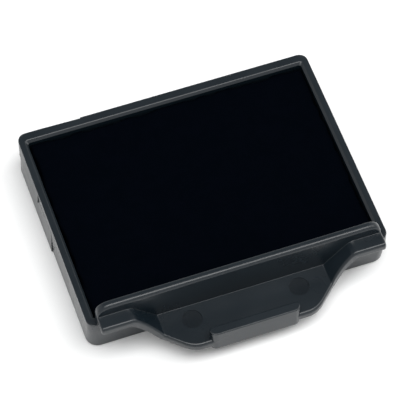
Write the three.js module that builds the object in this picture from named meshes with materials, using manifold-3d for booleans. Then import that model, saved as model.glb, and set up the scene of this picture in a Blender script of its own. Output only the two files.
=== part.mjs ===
// Swap-in ink pad cassette of a self-inking stamp: a moulded tray with a raised front
// shoulder and a pull tongue, holding a cloth-covered felt pad on an adhesive film.
//
// Millimetres. +Z up, -Y towards the pull tongue. The origin is on the flat underside,
// at the middle of the tray body.

import * as THREE from 'three';
import { mergeVertices } from 'three/addons/utils/BufferGeometryUtils.js';
import Module from 'manifold-3d';

const wasm = await Module();
wasm.setup();

// ---------------------------------------------------------------- driving sizes

const tray = {
  width: 73.5, // outside, left to right
  depth: 56, // outside at the rim, front to back
  rimHeight: 10.9,
  floor: 2.4, // thickness under the pad
  sideWall: 1.4, // width of the rim on the left and right walls
  backWall: 2.1, // width of the rim on the back wall
  cornerRadius: 2.1,
  wellRadius: 0.6,
  frontDraft: 0.7, // how far the foot of the front wall sits behind its rim
};

// Slope inside the rim on the side and back walls, which leads the pad into its well.
const leadIn = {
  run: 0.5,
  depth: 0.6,
};

const shoulder = {
  endInset: 2.1, // from the tray's outer side face to the end of the raised front wall
  height: 17.4,
  thickness: 2.2, // at the rim
  topThickness: 1.9,
  lean: 0.2, // how far its outer face leans back on the way up
  topRadius: 0.6,
  endRadius: 3.2, // rounding of its two upper ends, seen from the front
};

const flange = {
  thickness: 2.1,
  endInset: 2.25, // from the tray's outer side face to the end of the ledge
  ledgeTop: 14.3, // the two high ledges beside the tongue
  ledgeReach: 3.6, // how far the ledges stand out from the rim's front edge
  rampOuter: 26.6, // from the middle, where each ledge starts to fall
  rampInner: 20.4, // from the middle, where the fall meets the tongue's floor
  ledgeRadius: 2.4, // rounding where a ledge turns down into its ramp
};

const tongue = {
  floorTop: 7.6,
  kneeHalfWidth: 20.9, // where the falling edge turns forward
  kneeReach: 5.6,
  noseHalfWidth: 14.2,
  noseReach: 11.0,
  noseRadius: 5.5,
  markRadius: 2.4, // the shallow round ejector marks in its floor
  markDepth: 0.15,
  markHalfSpacing: 13.1,
  markReach: 3.7,
};

const grip = {
  halfWidth: 10.9,
  depth: 2.2,
  top: 10.7,
  foot: 4.2,
  proud: 0.2, // how far its face stands in front of the tongue's nose
  cornerRadius: 1.0,
  topRadius: 0.6,
};

const guide = {
  proud: 0.3, // how far the side guide panels stand out from the walls
  rearInset: 3.0, // both panels stop this far before the tray's back face
  run: 24.4, // length of each panel
  height: 8.0,
  rimRun: 14.4, // length of the left panel's rear stretch that reaches up to the rim
};

const relief = {
  depth: 0.3, // shallow wedge taken off the back face, deepest at its inner end
  inset: 2.6, // from the tray's left face to where the wedge starts
  length: 13.4,
};

const pad = {
  top: 9.7, // inked face above the underside
  clearance: 0.3, // air between the covered pad and the well's walls
  film: 0.3, // adhesive under the felt
  filmInset: 2.0,
  cloth: 0.5,
  edgeRadius: 0.4,
};

const rimFront = -tray.depth / 2;
const rimBack = tray.depth / 2;
const wallBack = rimFront + shoulder.thickness;
const halfWidth = tray.width / 2;
const ledgeEnd = halfWidth - flange.endInset;
const wellHalfWidth = halfWidth - tray.sideWall - leadIn.run;
const wellBack = rimBack - tray.backWall - leadIn.run;
const bury = 0.6; // how deep joined lumps of the tray reach into each other
const cut = 1; // how far a cutting body reaches past the face it opens
const seam = 0.01; // overlap of the funnel with the straight well

// ---------------------------------------------------------------- shape helpers

function toSolid(geometry) {
  const clean = geometry.clone();
  clean.deleteAttribute('normal');
  clean.deleteAttribute('uv');
  const merged = mergeVertices(clean, 1e-4);
  const mesh = new wasm.Mesh({
    numProp: 3,
    vertProperties: new Float32Array(merged.attributes.position.array),
    triVerts: new Uint32Array(merged.index.array),
  });
  return new wasm.Manifold(mesh);
}

function toGeometry(solid) {
  const mesh = solid.getMesh();
  const geometry = new THREE.BufferGeometry();
  geometry.setAttribute('position', new THREE.BufferAttribute(new Float32Array(mesh.vertProperties), 3));
  geometry.setIndex(new THREE.BufferAttribute(new Uint32Array(mesh.triVerts), 1));
  geometry.computeVertexNormals();
  return geometry;
}

// A rectangle with round corners between two opposite corner points.
function roundedRectangle(left, low, right, high, radius) {
  const shape = new THREE.Shape();
  shape.moveTo(left + radius, low);
  shape.lineTo(right - radius, low);
  shape.absarc(right - radius, low + radius, radius, -Math.PI / 2, 0, false);
  shape.lineTo(right, high - radius);
  shape.absarc(right - radius, high - radius, radius, 0, Math.PI / 2, false);
  shape.lineTo(left + radius, high);
  shape.absarc(left + radius, high - radius, radius, Math.PI / 2, Math.PI, false);
  shape.lineTo(left, low + radius);
  shape.absarc(left + radius, low + radius, radius, Math.PI, Math.PI * 1.5, false);
  return shape;
}

function polygon(points) {
  return new THREE.Shape(points.map(([a, b]) => new THREE.Vector2(a, b)));
}

function extrude(shape, length, curveSegments = 8) {
  return new THREE.ExtrudeGeometry(shape, { depth: length, bevelEnabled: false, curveSegments });
}

// The outline lies in the XY plane and rises from z = low to z = high.
function upright(shape, low, high, curveSegments) {
  return toSolid(extrude(shape, high - low, curveSegments).translate(0, 0, low));
}

// The outline is drawn in (y, z) and runs along X, centred on x = 0.
function alongX(shape, halfLength, curveSegments) {
  const geometry = extrude(shape, 2 * halfLength, curveSegments);
  geometry.rotateY(Math.PI / 2);
  geometry.rotateX(Math.PI / 2);
  return toSolid(geometry.translate(-halfLength, 0, 0));
}

// The outline is drawn in (x, z) and runs along Y from front to back.
function alongY(shape, front, back, curveSegments) {
  const geometry = extrude(shape, back - front, curveSegments);
  geometry.rotateX(Math.PI / 2);
  return toSolid(geometry.translate(0, back, 0));
}

function block(left, right, front, back, low, high) {
  const geometry = new THREE.BoxGeometry(right - left, back - front, high - low);
  return toSolid(geometry.translate((left + right) / 2, (front + back) / 2, (low + high) / 2));
}

// ---------------------------------------------------------------- the tray's parts

// Outer block with round upright corners; its front wall leans in towards the foot.
function trayBlock() {
  const plan = roundedRectangle(-halfWidth, rimFront, halfWidth, rimBack, tray.cornerRadius);
  const side = polygon([
    [rimFront + tray.frontDraft, 0],
    [rimBack, 0],
    [rimBack, tray.rimHeight],
    [rimFront, tray.rimHeight],
  ]);
  return upright(plan, 0, tray.rimHeight).intersect(alongX(side, halfWidth + cut));
}

// Plan of the well, opened out by `spread` on every side but the front.
function wellPlan(spread) {
  const side = wellHalfWidth + spread;
  return roundedRectangle(-side, wallBack, side, wellBack + spread, tray.wellRadius);
}

// The straight well with the funnel of the lead-in on top of it.
function wellCut() {
  const leadFoot = tray.rimHeight - leadIn.depth;
  const well = upright(wellPlan(0), tray.floor, leadFoot, 3);
  const throat = upright(wellPlan(0), leadFoot - seam, leadFoot, 3);
  const mouth = upright(wellPlan(leadIn.run), tray.rimHeight, tray.rimHeight + cut, 3);
  return well.add(wasm.Manifold.hull([throat, mouth]));
}

// Side view of the raised front wall: it tapers upwards and has round top edges.
function wallSection() {
  const radius = shoulder.topRadius;
  const topFront = rimFront + shoulder.lean;
  const topBack = topFront + shoulder.topThickness;
  const shape = new THREE.Shape();
  shape.moveTo(rimFront, bury);
  shape.lineTo(wallBack, bury);
  shape.lineTo(wallBack, tray.rimHeight);
  shape.lineTo(topBack, shoulder.height - radius);
  shape.absarc(topBack - radius, shoulder.height - radius, radius, 0, Math.PI / 2, false);
  shape.absarc(topFront + radius, shoulder.height - radius, radius, Math.PI / 2, Math.PI, false);
  shape.lineTo(rimFront, tray.rimHeight);
  return shape;
}

// The front wall carried on above the rim, with round upper ends.
function raisedWall() {
  const end = halfWidth - shoulder.endInset;
  const front = roundedRectangle(-end, bury, end, shoulder.height, shoulder.endRadius);
  const bar = alongX(wallSection(), end + cut, 5);
  const upper = block(-end - cut, end + cut, rimFront - cut, wallBack + cut, tray.floor, shoulder.height + cut);
  return bar.intersect(alongY(front, rimFront - cut, wallBack + cut)).intersect(upper);
}

// Points of a round corner at `corner`, between level ground outside it and a fall inside it.
function roundShoulder(corner, slope, radius) {
  const steps = 5;
  const setback = radius * Math.tan(slope / 2);
  const points = [];
  for (let i = 0; i <= steps; i++) {
    const turn = (slope * i) / steps;
    points.push([corner[0] + setback - radius * Math.sin(turn), corner[1] - radius * (1 - Math.cos(turn))]);
  }
  return points;
}

// Seen from the front: high ledges, falling ramps and the low tongue, one wall thick.
function flangeSheet(front, back) {
  const slope = Math.atan2(flange.ledgeTop - tongue.floorTop, flange.rampOuter - flange.rampInner);
  const shift = flange.thickness * Math.tan(slope / 2);
  const under = flange.ledgeTop - flange.thickness;
  const floorUnder = tongue.floorTop - flange.thickness;
  const half = [
    [ledgeEnd, flange.ledgeTop],
    ...roundShoulder([flange.rampOuter, flange.ledgeTop], slope, flange.ledgeRadius),
    [flange.rampInner, tongue.floorTop],
  ];
  const halfUnder = [
    [flange.rampInner + shift, floorUnder],
    [flange.rampOuter + shift, under],
    [ledgeEnd, under],
  ];
  const mirrored = (points) => points.map(([x, z]) => [-x, z]).reverse();
  const outline = [...half, ...mirrored(half), ...mirrored(halfUnder), ...halfUnder];
  return alongY(polygon(outline), front, back);
}

// Seen from above: square ledge ends, a knee on each side and a nose with round corners.
function flangePlan() {
  const ledge = rimFront - flange.ledgeReach;
  const knee = rimFront - tongue.kneeReach;
  const nose = rimFront - tongue.noseReach;
  const flare = Math.atan2(tongue.noseReach - tongue.kneeReach, tongue.kneeHalfWidth - tongue.noseHalfWidth);
  const setback = tongue.noseRadius * Math.tan(flare / 2);
  const shape = new THREE.Shape();
  shape.moveTo(ledgeEnd, rimFront + bury);
  shape.lineTo(-ledgeEnd, rimFront + bury);
  shape.lineTo(-ledgeEnd, ledge);
  shape.lineTo(-flange.rampOuter, ledge);
  shape.lineTo(-tongue.kneeHalfWidth, knee);
  const arcX = tongue.noseHalfWidth - setback;
  const arcY = nose + tongue.noseRadius;
  shape.absarc(-arcX, arcY, tongue.noseRadius, Math.PI * 1.5 - flare, Math.PI * 1.5, false);
  shape.absarc(arcX, arcY, tongue.noseRadius, -Math.PI / 2, flare - Math.PI / 2, false);
  shape.lineTo(tongue.kneeHalfWidth, knee);
  shape.lineTo(flange.rampOuter, ledge);
  shape.lineTo(ledgeEnd, ledge);
  return shape;
}

function frontFlange() {
  const front = rimFront - tongue.noseReach;
  const plan = upright(flangePlan(), 0, shoulder.height, 6);
  return flangeSheet(front - cut, rimFront + bury).intersect(plan);
}

// The finger lip on the tongue's nose, with round upright corners and a round top.
function gripBar() {
  const front = rimFront - tongue.noseReach - grip.proud;
  const back = front + grip.depth;
  const plan = roundedRectangle(-grip.halfWidth, front, grip.halfWidth, back, grip.cornerRadius);
  const side = roundedRectangle(front, -cut, back, grip.top, grip.topRadius);
  return upright(plan, grip.foot, grip.top, 5).intersect(alongX(side, grip.halfWidth + cut, 4));
}

function ejectorMark(side) {
  const disc = new THREE.CylinderGeometry(tongue.markRadius, tongue.markRadius, cut, 28);
  disc.rotateX(Math.PI / 2);
  const x = side * tongue.markHalfSpacing;
  const y = rimFront - tongue.markReach;
  return toSolid(disc.translate(x, y, tongue.floorTop - tongue.markDepth + cut / 2));
}

// A low guide panel on a side wall, ending near the tray's back.
function sideGuide(side, run, low, high) {
  const wall = side * halfWidth;
  const edges = [wall - side * bury, wall + side * guide.proud].sort((a, b) => a - b);
  const back = rimBack - guide.rearInset;
  return block(edges[0], edges[1], back - run, back, low, high);
}

function backRelief() {
  const start = relief.inset - halfWidth;
  const wedge = polygon([
    [start, rimBack],
    [start + relief.length, rimBack - relief.depth],
    [start + relief.length, rimBack + cut],
    [start, rimBack + cut],
  ]);
  return upright(wedge, -cut, tray.rimHeight + cut);
}

function cassetteTray() {
  let solid = trayBlock().subtract(wellCut());
  solid = solid.add(raisedWall()).add(frontFlange()).add(gripBar());
  for (const side of [-1, 1]) {
    solid = solid.add(sideGuide(side, guide.run, 0, guide.height)).subtract(ejectorMark(side));
  }
  solid = solid.add(sideGuide(-1, guide.rimRun, guide.height - bury, tray.rimHeight));
  return toGeometry(solid.subtract(backRelief()));
}

// ---------------------------------------------------------------- what the tray holds

const padHalfWidth = wellHalfWidth - pad.clearance;
const padFront = wallBack + pad.clearance;
const padBack = wellBack - pad.clearance;
const feltFoot = tray.floor + pad.film;

function padPlan(inset) {
  return roundedRectangle(
    -padHalfWidth + inset,
    padFront + inset,
    padHalfWidth - inset,
    padBack - inset,
    pad.edgeRadius,
  );
}

function adhesiveFilm() {
  return toGeometry(upright(padPlan(pad.filmInset), tray.floor, feltFoot, 3));
}

function feltCore() {
  return toGeometry(upright(padPlan(pad.cloth), feltFoot, pad.top - pad.cloth, 3));
}

// A cap of cloth over the felt, open at the bottom.
function coverCloth() {
  const outside = upright(padPlan(0), feltFoot, pad.top, 3);
  const inside = upright(padPlan(pad.cloth), feltFoot - cut, pad.top - pad.cloth, 3);
  return toGeometry(outside.subtract(inside));
}

// ---------------------------------------------------------------- the assembly

function piece(name, geometry, color, roughness) {
  const material = new THREE.MeshStandardMaterial({ color, roughness, metalness: 0 });
  const mesh = new THREE.Mesh(geometry, material);
  mesh.name = name;
  return mesh;
}

const cassette = new THREE.Group();
cassette.name = 'ink_pad_cassette';
cassette.add(piece('cassette_tray', cassetteTray(), 0x2a2d2f, 0.42));
cassette.add(piece('adhesive_film', adhesiveFilm(), 0xb8b09a, 0.5));
cassette.add(piece('felt_core', feltCore(), 0x0a0c12, 0.95));
cassette.add(piece('cover_cloth', coverCloth(), 0x05070d, 0.9));

export default cassette;
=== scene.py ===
"""Swap-in ink pad cassette of a self-inking stamp: a moulded tray with a raised front wall, a
pull tongue and a finger lip, holding a cloth-covered felt pad. Shapes are worked out in
millimetres in the tray's own frame (+Z up, -Y towards the tongue) and stored in metres."""

import math

import bmesh
import bpy
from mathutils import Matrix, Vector, noise


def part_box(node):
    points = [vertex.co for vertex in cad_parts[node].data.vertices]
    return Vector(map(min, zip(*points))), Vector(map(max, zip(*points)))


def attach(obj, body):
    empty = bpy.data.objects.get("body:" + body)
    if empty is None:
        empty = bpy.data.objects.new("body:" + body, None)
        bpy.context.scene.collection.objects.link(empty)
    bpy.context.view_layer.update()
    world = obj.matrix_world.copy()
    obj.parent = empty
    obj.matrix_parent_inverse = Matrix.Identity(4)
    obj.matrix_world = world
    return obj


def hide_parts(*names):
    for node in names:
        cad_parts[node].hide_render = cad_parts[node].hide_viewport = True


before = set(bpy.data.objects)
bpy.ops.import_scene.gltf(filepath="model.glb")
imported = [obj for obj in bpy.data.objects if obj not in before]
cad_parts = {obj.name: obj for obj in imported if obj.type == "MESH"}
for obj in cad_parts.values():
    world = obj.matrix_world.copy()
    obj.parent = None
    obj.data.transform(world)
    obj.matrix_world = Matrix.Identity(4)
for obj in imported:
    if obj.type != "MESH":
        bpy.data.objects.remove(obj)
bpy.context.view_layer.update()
TRAY_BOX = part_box("cassette_tray")
COVER_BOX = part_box("cover_cloth")
FELT_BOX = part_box("felt_core")

bl_info = {
    "name": "Ink Pad Cassette",
    "version": (1, 0, 0),
    "blender": (4, 5, 0),
    "location": "View3D > Sidebar > Ink Pad",
    "description": "Builds a swap-in ink pad cassette and the studio it stands in",
    "category": "Add Mesh",
}

MM = 0.001


# ------------------------------------------------------------------ settings


class CassetteTraySettings(bpy.types.PropertyGroup):
    """Sizes of the moulded tray."""

    width: bpy.props.FloatProperty(
        name="Width",
        description="Outside width of the tray, without the guide panels",
        default=73.5 * MM,
        unit="LENGTH",
    )
    depth: bpy.props.FloatProperty(
        name="Depth",
        description="Outside depth of the tray body at the rim",
        default=56.0 * MM,
        unit="LENGTH",
    )
    rim_height: bpy.props.FloatProperty(
        name="Rim height",
        description="Height of the side and back walls",
        default=10.9 * MM,
        unit="LENGTH",
    )
    rim: bpy.props.FloatProperty(
        name="Rim",
        description="Width of the rim on the left and right walls",
        default=1.4 * MM,
        unit="LENGTH",
    )
    front_height: bpy.props.FloatProperty(
        name="Front wall height",
        description="Top of the raised front wall",
        default=TRAY_BOX[1].z,
        unit="LENGTH",
    )
    reach: bpy.props.FloatProperty(
        name="Tongue reach",
        description="How far the tongue's nose stands in front of the rim",
        default=11.0 * MM,
        unit="LENGTH",
    )
    colour: bpy.props.StringProperty(
        name="Plastic colour",
        description="sRGB hex value of the moulded plastic",
        default="#0E171D",
    )


class CassettePadSettings(bpy.types.PropertyGroup):
    """Sizes of the pad that the tray holds."""

    edge_roll: bpy.props.FloatProperty(
        name="Edge roll",
        description="Radius of the cloth where it turns down over the felt",
        default=0.4 * MM,
        unit="LENGTH",
    )
    cloth: bpy.props.FloatProperty(
        name="Cloth",
        description="Thickness of the cover cloth",
        default=0.35 * MM,
        unit="LENGTH",
    )
    unevenness: bpy.props.FloatProperty(
        name="Unevenness",
        description="How far the cloth's edge wanders from a straight line",
        default=0.1 * MM,
        unit="LENGTH",
    )
    ink: bpy.props.StringProperty(
        name="Ink colour",
        description="sRGB hex value of the ink-soaked cloth",
        default="#010307",
    )


class CassetteStudioSettings(bpy.types.PropertyGroup):
    """Camera and light of the studio."""

    azimuth: bpy.props.FloatProperty(
        name="Azimuth",
        description="Camera's turn about the upright axis; 0 looks along +Y",
        default=math.radians(-19.38),
        subtype="ANGLE",
        unit="ROTATION",
    )
    elevation: bpy.props.FloatProperty(
        name="Elevation",
        description="Camera's height above the horizon",
        default=math.radians(57.56),
        subtype="ANGLE",
        unit="ROTATION",
    )
    distance: bpy.props.FloatProperty(
        name="Distance",
        description="From the camera to the tray's origin",
        default=0.6166,
        unit="LENGTH",
    )
    lens: bpy.props.FloatProperty(
        name="Lens",
        description="Focal length in millimetres on a 36 mm sensor",
        default=229.25,
    )
    surround: bpy.props.FloatProperty(
        name="Surround",
        description="Brightness of the white surround",
        default=0.25,
    )


# ------------------------------------------------------------------ mesh helpers


def deselect_all():
    """Nothing stays selected, so that the next operator acts on one piece."""
    for other in list(bpy.context.selected_objects):
        other.select_set(False)


def only(piece):
    """Make this piece the active and only selected object."""
    deselect_all()
    piece.select_set(True)
    bpy.context.view_layer.objects.active = piece


def name_piece(name):
    """Name the object and mesh that an operator has just added."""
    piece = bpy.context.active_object
    piece.name = name
    piece.data.name = name
    return piece


def select_in_edit(piece, kind, test):
    """In edit mode, select exactly the vertices, edges or faces that pass the test."""
    bpy.ops.mesh.select_mode(type=kind)
    bpy.ops.mesh.select_all(action="DESELECT")
    shape = bmesh.from_edit_mesh(piece.data)
    shape.verts.ensure_lookup_table()
    for part in {"VERT": shape.verts, "EDGE": shape.edges, "FACE": shape.faces}[kind]:
        if test(part):
            part.select = True
    shape.select_flush_mode()
    bmesh.update_edit_mesh(piece.data)


def block(name, low, high):
    """A cuboid between two corners given in millimetres, with its place in its mesh."""
    deselect_all()
    middle = [(a + b) / 2 * MM for a, b in zip(low, high)]
    bpy.ops.mesh.primitive_cube_add(size=1, location=middle)
    piece = name_piece(name)
    piece.scale = [(b - a) * MM for a, b in zip(low, high)]
    bpy.ops.object.transform_apply(location=True, rotation=True, scale=True)
    return piece


def upright_edge(edge):
    """Whether an edge stands upright."""
    a, b = (v.co for v in edge.verts)
    return abs(a.z - b.z) > 0.5 * MM and (a - b).to_2d().length < 0.2 * abs(a.z - b.z)


def level_edge(height):
    """A test for the edges at this height, in millimetres, that a standing face ends on."""

    def test(edge):
        level = all(abs(v.co.z - height * MM) < 0.01 * MM for v in edge.verts)
        return level and any(abs(face.normal.z) < 0.9 for face in edge.link_faces)

    return test


def fit_selected(piece, low, high):
    """In edit mode, stretch the selection, seen from above, to this rectangle in millimetres."""
    shape = bmesh.from_edit_mesh(piece.data)
    chosen = [v for v in shape.verts if v.select]
    for axis in (0, 1):
        values = [v.co[axis] for v in chosen]
        start, span = min(values), max(values) - min(values)
        for vertex in chosen:
            share = (vertex.co[axis] - start) / span
            vertex.co[axis] = (low[axis] + share * (high[axis] - low[axis])) * MM
    bmesh.update_edit_mesh(piece.data)


def push_down(depth):
    """In edit mode, extrude the selected face downwards by millimetres."""
    bpy.ops.mesh.extrude_region_move(TRANSFORM_OT_translate={"value": (0, 0, -depth * MM)})


def bevel_edges(piece, test, radius, segments):
    """Round the edges that pass the test; the radius is in millimetres."""
    only(piece)
    bpy.ops.object.mode_set(mode="EDIT")
    select_in_edit(piece, "EDGE", test)
    bpy.ops.mesh.bevel(offset=radius * MM, segments=segments, affect="EDGES")
    bpy.ops.object.mode_set(mode="OBJECT")


def combine(piece, other, operation):
    """Join or cut with another solid, which is then thrown away."""
    only(piece)
    change = piece.modifiers.new(operation, "BOOLEAN")
    change.operation = operation
    change.solver = "EXACT"
    change.object = other
    bpy.ops.object.modifier_apply(modifier=change.name)
    bpy.data.objects.remove(other)


def apply(piece, kind, **settings):
    """Add a modifier with these settings and apply it."""
    only(piece)
    change = piece.modifiers.new(kind.title(), kind)
    for key, value in settings.items():
        setattr(change, key, value)
    bpy.ops.object.modifier_apply(modifier=change.name)


def loft(name, sections):
    """A closed solid through equal rings of (x, y, z) points in millimetres, capped at both ends.
    It starts as a grid whose columns are laid onto the rings."""
    columns, points = len(sections), len(sections[0])
    deselect_all()
    bpy.ops.mesh.primitive_grid_add(x_subdivisions=columns - 1, y_subdivisions=points, size=1)
    piece = name_piece(name)
    for vertex in piece.data.vertices:
        column = round((vertex.co.x + 0.5) * (columns - 1))
        point = round((vertex.co.y + 0.5) * points) % points
        vertex.co = Vector(sections[column][point]) * MM
    only(piece)
    bpy.ops.object.mode_set(mode="EDIT")
    bpy.ops.mesh.select_all(action="SELECT")
    bpy.ops.mesh.remove_doubles(threshold=0.002 * MM)
    bpy.ops.mesh.select_all(action="DESELECT")
    bpy.ops.mesh.select_mode(type="EDGE")
    bpy.ops.mesh.select_non_manifold()
    bpy.ops.mesh.fill_holes(sides=0)
    bpy.ops.mesh.select_all(action="SELECT")
    bpy.ops.mesh.normals_make_consistent(inside=False)
    bpy.ops.object.mode_set(mode="OBJECT")
    return piece


def finish_piece(piece, material, node):
    """Give the piece its material and its body, and hide the CAD node it stands for."""
    piece.data.materials.clear()
    piece.data.materials.append(material)
    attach(piece, "root")
    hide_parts(node)


# ------------------------------------------------------------------ material helpers


def linear(hex_value):
    """sRGB hex value to linear colour with alpha."""
    channels = [int(hex_value[i : i + 2], 16) / 255 for i in (1, 3, 5)]
    return [c / 12.92 if c <= 0.04045 else ((c + 0.055) / 1.055) ** 2.4 for c in channels] + [1]


def add_node(tree, kind, settings=None, inputs=None):
    """Add a node; inputs maps a socket's name or number to a value or to another node's output."""
    node = tree.nodes.new(kind)
    for key, value in (settings or {}).items():
        setattr(node, key, value)
    for key, value in (inputs or {}).items():
        if isinstance(value, bpy.types.NodeSocket):
            tree.links.new(value, node.inputs[key])
        else:
            node.inputs[key].default_value = value
    return node


def new_material(name):
    """An empty node material with its shader and the object's own coordinates."""
    material = bpy.data.materials.new(name)
    material.use_nodes = True
    tree = material.node_tree
    tree.nodes.clear()
    shader = add_node(tree, "ShaderNodeBsdfPrincipled")
    add_node(tree, "ShaderNodeOutputMaterial", inputs={"Surface": shader.outputs["BSDF"]})
    place = add_node(tree, "ShaderNodeTexCoord").outputs["Object"]
    return material, tree, shader, place


def satin_moulded_polystyrene(colour):
    """Injection-moulded polystyrene, dyed black. A steel tool with a fine satin finish leaves
    faint grain of about 0.2 mm, and flow and handling leave broad patches of changing gloss."""
    material, tree, shader, place = new_material("satin_moulded_polystyrene")
    shader.inputs["IOR"].default_value = 1.5
    patches = add_node(
        tree,
        "ShaderNodeTexNoise",
        inputs={"Vector": place, "Scale": 90.0, "Detail": 3.0, "Roughness": 0.55},
    )
    tint = add_node(
        tree,
        "ShaderNodeMapRange",
        inputs={"Value": patches.outputs["Fac"], 1: 0.3, 2: 0.7, 3: 0.0, 4: 1.0},
    )
    dyed = add_node(
        tree,
        "ShaderNodeMix",
        {"data_type": "RGBA"},
        {0: tint.outputs[0], 6: linear(colour), 7: [c * 1.18 for c in linear(colour)[:3]] + [1]},
    )
    gloss = add_node(
        tree,
        "ShaderNodeMapRange",
        inputs={"Value": patches.outputs["Fac"], 1: 0.3, 2: 0.7, 3: 0.25, 4: 0.33},
    )
    grain = add_node(
        tree,
        "ShaderNodeTexNoise",
        inputs={"Vector": place, "Scale": 4200.0, "Detail": 2.0, "Roughness": 0.6},
    )
    bump = add_node(
        tree,
        "ShaderNodeBump",
        inputs={"Strength": 0.1, "Distance": 0.02 * MM, "Height": grain.outputs["Fac"]},
    )
    # The ejector marks' floors are painted darker: a painted reflection of the dark front wall that
    # stands above them.
    marks = add_node(tree, "ShaderNodeAttribute", {"attribute_name": "ejector_mark"})
    painted_mark_reflection = add_node(
        tree,
        "ShaderNodeMix",
        {"data_type": "RGBA"},
        {0: marks.outputs["Fac"], 6: dyed.outputs[2], 7: linear("#030D14")},
    )
    tree.links.new(painted_mark_reflection.outputs[2], shader.inputs["Base Color"])
    tree.links.new(gloss.outputs[0], shader.inputs["Roughness"])
    tree.links.new(bump.outputs["Normal"], shader.inputs["Normal"])
    return material


def inked_cotton_weave(colour):
    """Fine plain-woven cotton, soaked in black ink. Its threads are about 0.25 mm apart, drawn
    at 0.5 mm so that they show; wet fibre swallows nearly all light and keeps a soft cool sheen."""
    material, tree, shader, place = new_material("inked_cotton_weave")
    shader.inputs["IOR"].default_value = 1.4
    shader.inputs["Specular IOR Level"].default_value = 0.01
    shader.inputs["Sheen Weight"].default_value = 0.002
    shader.inputs["Sheen Roughness"].default_value = 0.5
    shader.inputs["Sheen Tint"].default_value = linear("#5A6C96")
    threads = []
    for turn in (0.0, math.pi / 2):
        turned = add_node(
            tree,
            "ShaderNodeMapping",
            inputs={"Vector": place, "Rotation": (0.0, 0.0, turn)},
        )
        threads.append(
            add_node(
                tree,
                "ShaderNodeTexWave",
                {"wave_type": "BANDS", "bands_direction": "X"},
                {
                    "Vector": turned.outputs["Vector"],
                    "Scale": 1 / (0.5 * MM) / 20 * 2 * math.pi,
                    "Distortion": 0.8,
                    "Detail": 1.0,
                    "Detail Scale": 2.0,
                },
            )
        )
    weave = add_node(
        tree,
        "ShaderNodeMath",
        {"operation": "MULTIPLY"},
        {0: threads[0].outputs["Fac"], 1: threads[1].outputs["Fac"]},
    )
    soak = add_node(
        tree,
        "ShaderNodeTexNoise",
        inputs={"Vector": place, "Scale": 260.0, "Detail": 5.0, "Roughness": 0.7},
    )
    patch = add_node(
        tree,
        "ShaderNodeMapRange",
        inputs={"Value": soak.outputs["Fac"], 1: 0.35, 2: 0.68, 3: 0.0, 4: 1.0},
    )
    soaked = add_node(
        tree,
        "ShaderNodeMix",
        {"data_type": "RGBA"},
        {0: patch.outputs[0], 6: linear(colour), 7: linear("#020409")},
    )
    wet = add_node(
        tree,
        "ShaderNodeMapRange",
        inputs={"Value": soak.outputs["Fac"], 1: 0.3, 2: 0.7, 3: 0.72, 4: 0.9},
    )
    bump = add_node(
        tree,
        "ShaderNodeBump",
        inputs={"Strength": 0.5, "Distance": 0.06 * MM, "Height": weave.outputs[0]},
    )
    tree.links.new(soaked.outputs[2], shader.inputs["Base Color"])
    tree.links.new(wet.outputs[0], shader.inputs["Roughness"])
    tree.links.new(bump.outputs["Normal"], shader.inputs["Normal"])
    return material


def inked_needled_felt():
    """Needled polyester felt, soaked in black ink: matted fibres of 0.3 to 1 mm show as soft
    blotches, and its surface is rougher than the cloth's."""
    material, tree, shader, place = new_material("inked_needled_felt")
    shader.inputs["Specular IOR Level"].default_value = 0.2
    fibres = add_node(
        tree,
        "ShaderNodeTexNoise",
        inputs={"Vector": place, "Scale": 1400.0, "Detail": 6.0, "Roughness": 0.75},
    )
    shade = add_node(
        tree,
        "ShaderNodeMix",
        {"data_type": "RGBA"},
        {0: fibres.outputs["Fac"], 6: linear("#020307"), 7: linear("#0B0E16")},
    )
    rough = add_node(
        tree,
        "ShaderNodeMapRange",
        inputs={"Value": fibres.outputs["Fac"], 1: 0.3, 2: 0.7, 3: 0.85, 4: 1.0},
    )
    bump = add_node(
        tree,
        "ShaderNodeBump",
        inputs={"Strength": 0.8, "Distance": 0.15 * MM, "Height": fibres.outputs["Fac"]},
    )
    tree.links.new(shade.outputs[2], shader.inputs["Base Color"])
    tree.links.new(rough.outputs[0], shader.inputs["Roughness"])
    tree.links.new(bump.outputs["Normal"], shader.inputs["Normal"])
    return material


def cloudy_transfer_adhesive():
    """Acrylic transfer adhesive: a cloudy straw-coloured film with trapped air that dulls it in
    patches of a few millimetres."""
    material, tree, shader, place = new_material("cloudy_transfer_adhesive")
    shader.inputs["IOR"].default_value = 1.48
    air = add_node(
        tree,
        "ShaderNodeTexNoise",
        inputs={"Vector": place, "Scale": 350.0, "Detail": 4.0, "Roughness": 0.6},
    )
    shade = add_node(
        tree,
        "ShaderNodeMix",
        {"data_type": "RGBA"},
        {0: air.outputs["Fac"], 6: linear("#A89A78"), 7: linear("#CFC4A4")},
    )
    rough = add_node(
        tree,
        "ShaderNodeMapRange",
        inputs={"Value": air.outputs["Fac"], 1: 0.3, 2: 0.7, 3: 0.3, 4: 0.6},
    )
    tree.links.new(shade.outputs[2], shader.inputs["Base Color"])
    tree.links.new(rough.outputs[0], shader.inputs["Roughness"])
    return material


def white_sweep_paper():
    """Matt white paper sweep: even and pale, with a trace of mottling from its fibres."""
    material, tree, shader, place = new_material("white_sweep_paper")
    shader.inputs["Roughness"].default_value = 0.95
    shader.inputs["Specular IOR Level"].default_value = 0.05
    mottle = add_node(
        tree, "ShaderNodeTexNoise", inputs={"Vector": place, "Scale": 60.0, "Detail": 4.0}
    )
    shade = add_node(
        tree,
        "ShaderNodeMix",
        {"data_type": "RGBA"},
        {0: mottle.outputs["Fac"], 6: linear("#F5F6F6"), 7: linear("#FAFAFA")},
    )
    tree.links.new(shade.outputs[2], shader.inputs["Base Color"])
    return material


# ------------------------------------------------------------------ the tray's shape, in mm

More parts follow.
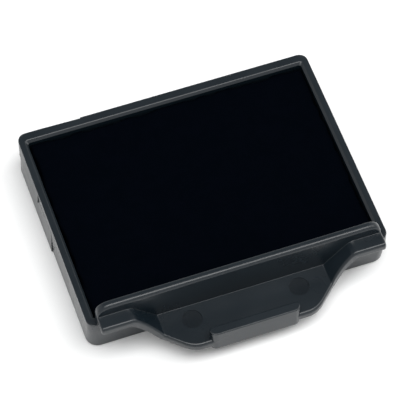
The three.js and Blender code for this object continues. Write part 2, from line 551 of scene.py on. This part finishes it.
RIM_CORNER = 2.1  # corner radius of the tray at the rim
FOOT_CORNER = 3.0  # and at the foot
FOOT_DRAFT = 0.7  # how far the foot of the front wall sits behind its rim
FLOOR = 2.4  # thickness under the pad
BACK_RIM = 2.1  # width of the rim on the back wall
LEAD_RUN = 0.6  # slope inside the rim that leads the pad into its well
LEAD_DEPTH = 0.6
FRONT_WALL = 2.2  # thickness of the raised front wall at the rim
FRONT_TOP = 2.0  # and at its top
FRONT_LEAN = 0.05  # how far its outer face leans back on the way up
FRONT_END = 34.6  # from the middle to its end
END_ROUND = 3.2  # rounding of its upper ends, seen from the front
EDGE_ROUND = 0.55  # rounding of its rear top edge and end edges
FRONT_ROUND = 0.9  # rounding of its front top edge
LEDGE_TOP = 14.3
LEDGE_REACH = 3.6
MARK_DEPTH = 0.18  # depth of the ejector marks in the tongue
TONGUE_TOP = 7.6
SHEET = 2.1  # thickness of the ledges, ramps and tongue
RAMP_OUTER = 26.6
RAMP_INNER = 20.4
RAMP_SLOPE = math.atan2(LEDGE_TOP - TONGUE_TOP, RAMP_OUTER - RAMP_INNER)
RAMP_ROUND = 2.4  # where a ledge turns down into its ramp
CREASE_ROUND = 0.5  # where a ramp meets the tongue's floor
KNEE = (20.9, 5.55)  # from the middle, and in front of the rim
FLARE = math.radians(43)  # the tongue's side edges, against the nose
NOSE_ROUND = 5.5
LEDGE_LIP = 0.75  # rounding of the ledge's free edge, above
UNDER_LIP = 0.3  # and below
FOOT_FILLET = 0.12  # where the front wall meets the ledge or floor, at most
LIP_HALF = 10.9  # the finger lip, from the middle to its end
LIP_FOOT = 4.2
LIP_TOP = 10.7
LIP_DEPTH = 2.3
LIP_PROUD = 0.2  # how far its face stands in front of the nose
LIP_FRONT_ROUND = 1.5  # its front corners, seen from above
LIP_BACK_ROUND = 0.7
GUIDE_PROUD = 0.3  # how far a guide panel's foot stands out from its wall
GUIDE_FADE = 0.02  # and its top
GUIDE_SUNK = 0.5
GUIDE_BACK = 3.0  # from the back face to the panels' rear end
GUIDE_RUN = 24.4
GUIDE_FOOT = 0.4
GUIDE_TOP = 8.0
RIM_GUIDE_RUN = 14.4  # the left panel's stretch that reaches up near the rim
RIM_GUIDE_FOOT = 7.0
RIM_GUIDE_GAP = 0.25  # from its top to the rim
MARK_SPACING = 13.1  # from the middle to each ejector mark
MARK_REACH = 3.7  # in front of the rim
MARK_RADIUS = 2.4
FOOT_MARK_X = 27.0
FOOT_MARKS_Y = (-18.0, 0.0, 18.0)
FOOT_MARK_RADIUS = 2.0
FOOT_MARK_DEPTH = 0.1
RELIEF_START = 2.6  # from the tray's left face
RELIEF_END = 16.0
RELIEF_DEPTH = 0.3
WELD = 0.02  # points closer than this become one
BURIED = 0.05  # a joined solid stops this far inside its neighbour's face
SEAT = 9.0  # the raised wall starts this low, inside the body's own front wall


def flange_top(x):
    """Height of the ledge, ramp or tongue floor at this distance from the middle."""
    x = abs(x)
    tip = RAMP_ROUND * math.tan(RAMP_SLOPE / 2)
    start = RAMP_OUTER + tip
    if x >= start:
        return LEDGE_TOP
    if x >= RAMP_OUTER - tip * math.cos(RAMP_SLOPE):
        return LEDGE_TOP - RAMP_ROUND + math.sqrt(RAMP_ROUND**2 - (start - x) ** 2)
    toe = CREASE_ROUND * math.tan(RAMP_SLOPE / 2)
    end = RAMP_INNER - toe
    if x >= RAMP_INNER + toe * math.cos(RAMP_SLOPE):
        return TONGUE_TOP + (x - RAMP_INNER) * math.tan(RAMP_SLOPE)
    if x >= end:
        return TONGUE_TOP + CREASE_ROUND - math.sqrt(CREASE_ROUND**2 - (x - end) ** 2)
    return TONGUE_TOP


def flange_under(x):
    """Height of the flange's underside: one sheet thickness from the top, square to it."""
    drop = SHEET / math.cos(RAMP_SLOPE)
    slanted = TONGUE_TOP + (abs(x) - RAMP_INNER) * math.tan(RAMP_SLOPE) - drop
    return min(max(slanted, TONGUE_TOP - SHEET), LEDGE_TOP - SHEET)


def flange_reach(x, nose_reach):
    """How far the flange's free edge stands in front of the rim."""
    x = abs(x)
    knee_x, knee_reach = KNEE
    arc_reach = nose_reach - NOSE_ROUND
    arc_x = knee_x - (NOSE_ROUND - (arc_reach - knee_reach) * math.cos(FLARE)) / math.sin(FLARE)
    if x <= arc_x:
        return nose_reach
    if x <= arc_x + NOSE_ROUND * math.sin(FLARE):
        return arc_reach + math.sqrt(NOSE_ROUND**2 - (x - arc_x) ** 2)
    if x <= knee_x:
        return knee_reach + (knee_x - x) * math.tan(FLARE)
    start = RAMP_OUTER + 0.4
    if x >= start:
        return LEDGE_REACH
    t = (start - x) / (start - knee_x)
    pull = 0.75 * (start - knee_x)
    blend = t * t * (3 - 2 * t)
    return LEDGE_REACH + (knee_reach - LEDGE_REACH) * blend + (t**3 - t**2) * pull


def arc(centre, radius, start, end, steps):
    """Points (y, z) on an arc, angles in degrees from +Y towards +Z."""
    points = []
    for i in range(steps + 1):
        a = math.radians(start + (end - start) * i / steps)
        points.append((centre[0] + radius * math.cos(a), centre[1] + radius * math.sin(a)))
    return points


def front_section(x, sizes):
    """Ring of (x, y, z) points round the front wall and its flange at one x."""
    rim = -sizes["depth"] / 2
    end = FRONT_END - END_ROUND
    beyond = max(0.0, abs(x) - end)
    fall = END_ROUND - math.sqrt(max(0.0, END_ROUND**2 - beyond**2))
    near = max(0.0, EDGE_ROUND - (FRONT_END - abs(x)))
    inset = EDGE_ROUND - math.sqrt(max(0.0, EDGE_ROUND**2 - near**2))
    top = sizes["front_height"] - fall - inset * 0.5
    ledge = flange_top(x) - inset
    under = flange_under(x) + inset * 0.5
    free = rim - flange_reach(x, sizes["reach"]) + inset
    inner = rim + FRONT_WALL
    lean = FRONT_LEAN / (sizes["front_height"] - TONGUE_TOP)
    rise = top - ledge
    radius = min(EDGE_ROUND, (FRONT_TOP - 2 * inset) / 2.2)
    outer_radius = min(FRONT_ROUND, (FRONT_TOP - 2 * inset) / 2.2, rise * 0.6)

    def outer(z):
        return rim + inset + lean * (z - TONGUE_TOP)

    top_in = rim + FRONT_LEAN + FRONT_TOP - inset
    fillet = min(FOOT_FILLET, rise * 0.3)
    seat = min(under, SEAT)
    ring = [(inner, seat), (inner, sizes["rim_height"] - 0.1)]
    ring.append((inner - inset, sizes["rim_height"] + 0.1))
    ring += arc((top_in - radius, top - radius), radius, 0, 90, 4)
    ring += arc((outer(top) + outer_radius, top - outer_radius), outer_radius, 90, 180, 6)
    ring += arc((outer(ledge) - fillet, ledge + fillet), fillet, 0, -90, 3)
    ring.append(((outer(ledge) - fillet + free + LEDGE_LIP) / 2, ledge))
    ring += arc((free + LEDGE_LIP, ledge - LEDGE_LIP), LEDGE_LIP, 90, 180, 6)
    ring += arc((free + UNDER_LIP, under + UNDER_LIP), UNDER_LIP, 180, 270, 3)
    ring += [(rim, under), (rim, seat), (rim + 1.0, seat)]
    return [(x, y, z) for y, z in ring]


def front_columns(nose_reach):
    """Where the front wall's sections stand: close together wherever its outline turns."""
    knee_x, _ = KNEE
    half = [0.0, 6.0, 11.0]
    half += [12.6 + 0.58 * i for i in range(8)]
    half += [17.6, 18.8, 19.6, 20.18, 20.27, 20.36, 20.45, 20.55, 20.75, knee_x, 21.1, 21.32]
    half += [21.8, 22.5, 23.2, 23.9, 24.6, 25.2, 25.6, 25.89]
    half += [26.1, 26.35, 26.65, 27.0, 27.3, 27.52, 27.65]
    half += [29.0, 30.5, FRONT_END - END_ROUND]
    for turn in (12, 24, 36, 46, 54):
        half.append(FRONT_END - END_ROUND * (1 - math.sin(math.radians(turn))))
    for turn in (10, 22, 34, 46, 58, 70, 80, 90):
        half.append(FRONT_END - EDGE_ROUND * (1 - math.sin(math.radians(turn))))
    return [-x for x in reversed(half[1:])] + half


def tray_body(sizes):
    """Box with a well: round upright corners that widen to the foot, soft rim and foot edges."""
    half_x, half_y, rim = sizes["width"] / 2, sizes["depth"] / 2, sizes["rim_height"]
    body = block("tray_body", (-half_x, -half_y + BURIED, 0), (half_x, half_y, rim))
    bevel_edges(body, upright_edge, RIM_CORNER, 8)
    only(body)
    bpy.ops.object.mode_set(mode="EDIT")
    bpy.ops.mesh.select_all(action="SELECT")
    bpy.ops.mesh.bisect(plane_co=(0, 0, TONGUE_TOP * MM), plane_no=(0, 0, 1))
    bpy.ops.object.mode_set(mode="OBJECT")
    for vertex in body.data.vertices:
        widened = 1 - min(vertex.co.z / MM, TONGUE_TOP) / TONGUE_TOP
        radius = RIM_CORNER + (FOOT_CORNER - RIM_CORNER) * widened
        x, y = vertex.co.x / MM, vertex.co.y / MM
        out = Vector((abs(x) - half_x + RIM_CORNER, abs(y) - half_y + RIM_CORNER))
        moved = Vector((half_x - radius, half_y - radius)) + out * (radius / RIM_CORNER)
        draft = FOOT_DRAFT * widened if y < 0 else 0.0
        vertex.co.x = math.copysign(moved.x, x) * MM
        vertex.co.y = (math.copysign(moved.y, y) + draft) * MM
    only(body)
    bpy.ops.object.mode_set(mode="EDIT")
    select_in_edit(body, "FACE", lambda f: f.normal.z > 0.99)
    bpy.ops.mesh.inset(thickness=sizes["rim"] * MM, use_even_offset=True)
    mouth_x, mouth_back = half_x - sizes["rim"], half_y - BACK_RIM
    front = -half_y + FRONT_WALL - 2 * BURIED
    fit_selected(body, (-mouth_x, front), (mouth_x, mouth_back))
    push_down(LEAD_DEPTH)
    fit_selected(body, (LEAD_RUN - mouth_x, front), (mouth_x - LEAD_RUN, mouth_back - LEAD_RUN))
    push_down(rim - LEAD_DEPTH - FLOOR)
    bpy.ops.object.mode_set(mode="OBJECT")
    mouth = (mouth_x + 0.3, mouth_back + 0.3)

    def in_mouth(edge):
        return all(abs(v.co.x) < mouth[0] * MM and abs(v.co.y) < mouth[1] * MM for v in edge.verts)

    at_rim = level_edge(rim)
    bevel_edges(body, lambda e: at_rim(e) and in_mouth(e), 0.2, 3)
    bevel_edges(body, lambda e: at_rim(e) and not in_mouth(e), 0.15, 3)
    bevel_edges(body, level_edge(0.0), 0.5, 4)
    return body


def finger_lip(sizes):
    """The upright lip on the tongue's nose, with round corners and soft top and foot edges."""
    front = -sizes["depth"] / 2 - sizes["reach"] - LIP_PROUD
    lip = block("finger_lip", (-LIP_HALF, front, LIP_FOOT), (LIP_HALF, front + LIP_DEPTH, LIP_TOP))

    def front_corner(edge):
        return upright_edge(edge) and edge.verts[0].co.y < (front + 1) * MM

    def back_corner(edge):
        return upright_edge(edge) and edge.verts[0].co.y > (front + LIP_DEPTH - 0.1) * MM

    bevel_edges(lip, front_corner, LIP_FRONT_ROUND, 8)
    bevel_edges(lip, back_corner, LIP_BACK_ROUND, 5)
    bevel_edges(lip, level_edge(LIP_TOP), 0.3, 4)
    bevel_edges(lip, level_edge(LIP_FOOT), 0.2, 3)
    return lip


def guide_panel(side, run, low, high, sizes):
    """A low panel on a side wall that keys the cassette into its bay. It stands proud at its
    foot and dies away into the wall at its top."""
    wall = sizes["width"] / 2
    back = sizes["depth"] / 2 - GUIDE_BACK
    faces = sorted((side * (wall - GUIDE_SUNK), side * (wall + GUIDE_PROUD)))
    panel = block("guide_panel", (faces[0], back - run, low), (faces[1], back, high))
    for vertex in panel.data.vertices:
        if vertex.co.z > (low + high) / 2 * MM and vertex.co.x * side > wall * MM:
            vertex.co.x = side * (wall + GUIDE_FADE) * MM
    return panel


def shallow_disc(name, x, y, z, radius, depth):
    """A round cutter for an ejector pin's mark, standing across the surface at z."""
    deselect_all()
    bpy.ops.mesh.primitive_cylinder_add(
        vertices=48, radius=radius * MM, depth=2 * depth * MM, location=(x * MM, y * MM, z * MM)
    )
    disc = name_piece(name)
    bpy.ops.object.transform_apply(location=True, rotation=True, scale=True)
    return disc


def flag_marks(tray, mark_y):
    """Flag the faces at the bottom of the ejector marks, which the plastic's material paints darker
    as a painted reflection of the dark front wall.
    """
    flags = tray.data.attributes.new("ejector_mark", "FLOAT", "FACE")
    for face in tray.data.polygons:
        middle = (MARK_SPACING * MM, mark_y * MM)
        away = math.dist((abs(face.center.x), face.center.y), middle)
        sunk = abs(face.center.z - (TONGUE_TOP - MARK_DEPTH) * MM) < MARK_DEPTH / 3 * MM
        if sunk and face.normal.z > 0.9 and away < MARK_RADIUS * MM:
            flags.data[face.index].value = 1.0


def back_relief(sizes):
    """A thin wedge that eases the back face left of the middle, deepest at its inner end."""
    half_x, half_y = sizes["width"] / 2, sizes["depth"] / 2
    wedge = block(
        "back_relief",
        (-half_x + RELIEF_START, half_y - RELIEF_DEPTH, -1),
        (-half_x + RELIEF_END, half_y + 1, sizes["rim_height"] + 1),
    )
    for vertex in wedge.data.vertices:
        if vertex.co.y < half_y * MM and vertex.co.x < (-half_x + RELIEF_END / 2) * MM:
            vertex.co.y = half_y * MM + 0.0005 * MM
    return wedge


# ------------------------------------------------------------------ operators


def in_mm(settings, *names):
    """Settings that are stored in metres, as a plain dictionary in millimetres."""
    return {n: getattr(settings, n) / MM for n in names}


class CASSETTE_OT_tray(bpy.types.Operator):
    """Mould the tray: well, raised front wall, ledges, ramps, tongue and finger lip."""

    bl_idname = "cassette.tray"
    bl_label = "Moulded Tray"

    def execute(self, context):
        settings = context.scene.cassette_tray
        sizes = in_mm(settings, "width", "depth", "rim_height", "rim", "front_height", "reach")
        tray = tray_body(sizes)
        columns = front_columns(sizes["reach"])
        combine(tray, loft("front_wall", [front_section(x, sizes) for x in columns]), "UNION")
        combine(tray, finger_lip(sizes), "UNION")
        mark_y = -sizes["depth"] / 2 - MARK_REACH
        for side in (-1, 1):
            panel = guide_panel(side, GUIDE_RUN, GUIDE_FOOT, GUIDE_TOP, sizes)
            combine(tray, panel, "UNION")
            place = (side * MARK_SPACING, mark_y, TONGUE_TOP)
            mark = shallow_disc("floor_mark", *place, MARK_RADIUS, MARK_DEPTH)
            combine(tray, mark, "DIFFERENCE")
            for y in FOOT_MARKS_Y:
                place = (side * FOOT_MARK_X, y, 0)
                mark = shallow_disc("foot_mark", *place, FOOT_MARK_RADIUS, FOOT_MARK_DEPTH)
                combine(tray, mark, "DIFFERENCE")
        rim_guide_top = sizes["rim_height"] - RIM_GUIDE_GAP
        panel = guide_panel(-1, RIM_GUIDE_RUN, RIM_GUIDE_FOOT, rim_guide_top, sizes)
        combine(tray, panel, "UNION")
        combine(tray, back_relief(sizes), "DIFFERENCE")
        only(tray)
        bpy.ops.object.mode_set(mode="EDIT")
        bpy.ops.mesh.select_all(action="SELECT")
        bpy.ops.mesh.remove_doubles(threshold=WELD * MM)
        bpy.ops.object.mode_set(mode="OBJECT")
        bpy.ops.object.shade_smooth_by_angle(angle=math.radians(32))
        apply(tray, "WEIGHTED_NORMAL", keep_sharp=True)
        name_piece("moulded_tray")
        flag_marks(tray, mark_y)
        material = satin_moulded_polystyrene(settings.colour)
        finish_piece(tray, material, "cassette_tray")
        return {"FINISHED"}


class CASSETTE_OT_adhesive(bpy.types.Operator):
    """Lay the adhesive film that holds the felt down."""

    bl_idname = "cassette.adhesive"
    bl_label = "Adhesive Film"

    def execute(self, context):
        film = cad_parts["adhesive_film"]
        film.data.materials.clear()
        film.data.materials.append(cloudy_transfer_adhesive())
        return {"FINISHED"}


# The pad's shape, in mm
EDGE_STRAY = 1.1  # scale of the slow wander in the cloth's edge, before it is limited
STRAY_IN = 0.45  # the most it wanders inwards
STRAY_OUT = 0.2  # and outwards, which keeps it within the well


def cap_sheet(name, low, high, roll, spacing, foot):
    """A sheet laid over a block: flat on top, rolled over its edges and down to the foot.
    Sizes are in millimetres. Returns it with the flat size and flat area of its cut, in metres:
    a rectangle with a square notched out of each corner, so that the turned sides meet."""
    half_x, half_y = (high[0] - low[0]) / 2, (high[1] - low[1]) / 2
    middle = ((high[0] + low[0]) / 2, (high[1] + low[1]) / 2)
    drop = math.pi / 2 * roll + (high[2] - roll - foot)
    flat_x, flat_y = half_x - roll + drop, half_y - roll + drop
    deselect_all()
    bpy.ops.mesh.primitive_grid_add(
        x_subdivisions=round(2 * flat_x / spacing),
        y_subdivisions=round(2 * flat_y / spacing),
        size=1,
    )
    sheet = name_piece(name)
    for vertex in sheet.data.vertices:
        flat = (vertex.co.x * 2 * flat_x, vertex.co.y * 2 * flat_y)
        over_x = max(0.0, abs(flat[0]) - (half_x - roll))
        over_y = max(0.0, abs(flat[1]) - (half_y - roll))
        gone = max(over_x, over_y)
        if gone > 0:
            share = min(over_x, over_y) / gone * math.pi / 4
            turn = share if over_x >= over_y else math.pi / 2 - share
        else:
            turn = 0.0
        bend = min(gone / roll, math.pi / 2)
        out = roll * math.sin(bend)
        z = high[2] - roll * (1 - math.cos(bend)) - max(0.0, gone - math.pi / 2 * roll)
        x = min(abs(flat[0]), half_x - roll) + out * math.cos(turn)
        y = min(abs(flat[1]), half_y - roll) + out * math.sin(turn)
        stray = EDGE_STRAY * noise.noise(Vector((flat[0] * 0.3, flat[1] * 0.3, 0.0)))
        stray = max(-STRAY_IN, min(STRAY_OUT, stray))
        x += stray * (x / half_x) ** 12
        y += stray * (y / half_y) ** 12
        vertex.co = Vector((
            (math.copysign(x, flat[0]) + middle[0]) * MM,
            (math.copysign(y, flat[1]) + middle[1]) * MM,
            z * MM,
        ))
    cut_area = 4 * (flat_x * flat_y - drop**2) * MM**2
    return sheet, (2 * flat_x * MM, 2 * flat_y * MM), cut_area


class CASSETTE_OT_felt(bpy.types.Operator):
    """Cut the felt block that stores the ink under the cloth."""

    bl_idname = "cassette.felt"
    bl_label = "Felt Core"

    def execute(self, context):
        low, high = ([c / MM for c in corner] for corner in FELT_BOX)
        felt = block("felt_block", low, high)
        bevel_edges(felt, upright_edge, 0.8, 4)
        apply(felt, "BEVEL", width=0.5 * MM, segments=2, limit_method="ANGLE")
        apply(felt, "REMESH", mode="VOXEL", voxel_size=0.8 * MM, use_smooth_shade=True)
        for vertex in felt.data.vertices:
            dent = 0.5 + 0.5 * noise.noise(vertex.co * 900.0)
            vertex.co -= vertex.normal * dent * 0.12 * MM
        name_piece("felt_block")
        finish_piece(felt, inked_needled_felt(), "felt_core")
        return {"FINISHED"}


class CASSETTE_OT_cover(bpy.types.Operator):
    """Stretch the cover cloth over the felt."""

    bl_idname = "cassette.cover"
    bl_label = "Cover Cloth"

    def execute(self, context):
        settings = context.scene.cassette_pad
        low, high = ([c / MM for c in corner] for corner in COVER_BOX)
        roll = settings.edge_roll / MM
        cover, flat, cut_area = cap_sheet("woven_cover", low, high, roll, 0.6, low[2] + 0.1)
        centre = Vector(((low[0] + high[0]) / 2, (low[1] + high[1]) / 2)) * MM
        half = Vector(((high[0] - low[0]) / 2, (high[1] - low[1]) / 2)) * MM
        for vertex in cover.data.vertices:
            place = vertex.co.to_2d() - centre
            edge = min(half.x - abs(place.x), half.y - abs(place.y)) / MM
            wander = noise.noise(vertex.co * 160.0) * 0.6 + noise.noise(vertex.co * 620.0) * 0.4
            pull = settings.unevenness * (1 + wander) * math.exp(-max(edge, 0.0) / 1.2)
            inward = Vector((
                -math.copysign(1, place.x) if half.x - abs(place.x) < 2.5 * MM else 0.0,
                -math.copysign(1, place.y) if half.y - abs(place.y) < 2.5 * MM else 0.0,
            ))
            vertex.co.x += inward.x * pull
            vertex.co.y += inward.y * pull
            sag = 0.05 + 0.05 * noise.noise(vertex.co * 70.0)
            if vertex.co.z > (high[2] - 2 * roll) * MM:
                vertex.co.z -= sag * MM + 0.1 * MM * math.exp(-max(edge, 0.0) / 1.5)
        apply(cover, "SOLIDIFY", thickness=settings.cloth, offset=-1.0)
        bpy.ops.object.shade_smooth_by_angle(angle=math.radians(60))
        finish_piece(cover, inked_cotton_weave(settings.ink), "cover_cloth")
        return {"FINISHED"}


# How far the camera stands off the line to the tray's origin, in metres
FRAMING_RIGHT = 0.00053
FRAMING_UP = 0.0019


class CASSETTE_OT_studio(bpy.types.Operator):
    """Set up the pale floor, the soft lights and the camera."""

    bl_idname = "cassette.studio"
    bl_label = "Studio"

    def execute(self, context):
        settings = context.scene.cassette_studio
        scene = context.scene
        scene.view_settings.view_transform = "Standard"
        scene.view_settings.look = "None"
        world = bpy.data.worlds.new("white_surround")
        world.use_nodes = True
        surround = world.node_tree.nodes["Background"]
        surround.inputs["Color"].default_value = (1.0, 1.0, 1.0, 1.0)
        surround.inputs["Strength"].default_value = settings.surround
        scene.world = world

        deselect_all()
        bpy.ops.mesh.primitive_plane_add(size=6.0, location=(0, 0, -0.0001))
        floor = name_piece("paper_floor")
        bpy.ops.object.transform_apply(location=True, rotation=True, scale=True)
        floor.data.materials.append(white_sweep_paper())

        azimuth, elevation = settings.azimuth, settings.elevation
        back = Vector((
            math.sin(azimuth) * math.cos(elevation),
            -math.cos(azimuth) * math.cos(elevation),
            math.sin(elevation),
        ))
        right = Vector((math.cos(azimuth), math.sin(azimuth), 0))
        up = back.cross(right)
        bpy.ops.object.camera_add()
        camera = context.active_object
        camera.name = "studio_camera"
        offset = right * FRAMING_RIGHT + up * FRAMING_UP
        camera.location = back * settings.distance + offset
        camera.rotation_mode = "QUATERNION"
        camera.rotation_quaternion = (-back).to_track_quat("-Z", "Y")
        camera.data.lens = settings.lens
        camera.data.sensor_width = 36.0
        camera.data.clip_start = 0.05
        camera.data.clip_end = 20.0
        scene.camera = camera

        for name, place, width, height, power in (
            ("overhead_softbox", (0.0, -0.22, 0.95), 1.0, 0.5, 8.6),
            ("key_softbox", (0.75, -0.05, 0.75), 0.7, 0.7, 3.0),
            ("rear_wall", (0.0, 1.3, 0.55), 2.4, 1.1, 4.6),
            ("right_wall", (1.3, 0.0, 0.55), 2.4, 1.1, 4.4),
            ("left_wall", (-1.3, 0.0, 0.55), 2.4, 1.1, 4.4),
            ("front_wall", (0.0, -1.3, 0.55), 2.4, 1.1, 5.6),
        ):
            bpy.ops.object.light_add(type="AREA", location=place)
            light = context.active_object
            light.name = name
            light.data.shape = "RECTANGLE"
            light.data.size = width
            light.data.size_y = height
            light.data.energy = power
            light.rotation_mode = "QUATERNION"
            light.rotation_quaternion = (-Vector(place)).to_track_quat("-Z", "Y")
        deselect_all()
        return {"FINISHED"}


class CASSETTE_PT_panel(bpy.types.Panel):
    """Buttons that build the cassette, in order."""

    bl_idname = "CASSETTE_PT_panel"
    bl_label = "Ink Pad Cassette"
    bl_space_type = "VIEW_3D"
    bl_region_type = "UI"
    bl_category = "Ink Pad"

    def draw(self, context):
        for group in ("cassette_tray", "cassette_pad", "cassette_studio"):
            box = self.layout.box()
            for key in getattr(context.scene, group).bl_rna.properties.keys():
                if key not in ("rna_type", "name"):
                    box.prop(getattr(context.scene, group), key)
        for operator in OPERATORS:
            self.layout.operator(operator.bl_idname)


GROUPS = {
    "cassette_tray": CassetteTraySettings,
    "cassette_pad": CassettePadSettings,
    "cassette_studio": CassetteStudioSettings,
}
OPERATORS = (
    CASSETTE_OT_tray,
    CASSETTE_OT_adhesive,
    CASSETTE_OT_felt,
    CASSETTE_OT_cover,
    CASSETTE_OT_studio,
)


def register():
    for group in GROUPS.values():
        bpy.utils.register_class(group)
    for name, group in GROUPS.items():
        setattr(bpy.types.Scene, name, bpy.props.PointerProperty(type=group))
    for operator in OPERATORS:
        bpy.utils.register_class(operator)
    bpy.utils.register_class(CASSETTE_PT_panel)


def unregister():
    bpy.utils.unregister_class(CASSETTE_PT_panel)
    for operator in reversed(OPERATORS):
        bpy.utils.unregister_class(operator)
    for name, group in GROUPS.items():
        delattr(bpy.types.Scene, name)
        bpy.utils.unregister_class(group)


def main():
    register()
    bpy.ops.cassette.tray()
    bpy.ops.cassette.adhesive()
    bpy.ops.cassette.felt()
    bpy.ops.cassette.cover()
    bpy.ops.cassette.studio()


if __name__ == "__main__":
    main()
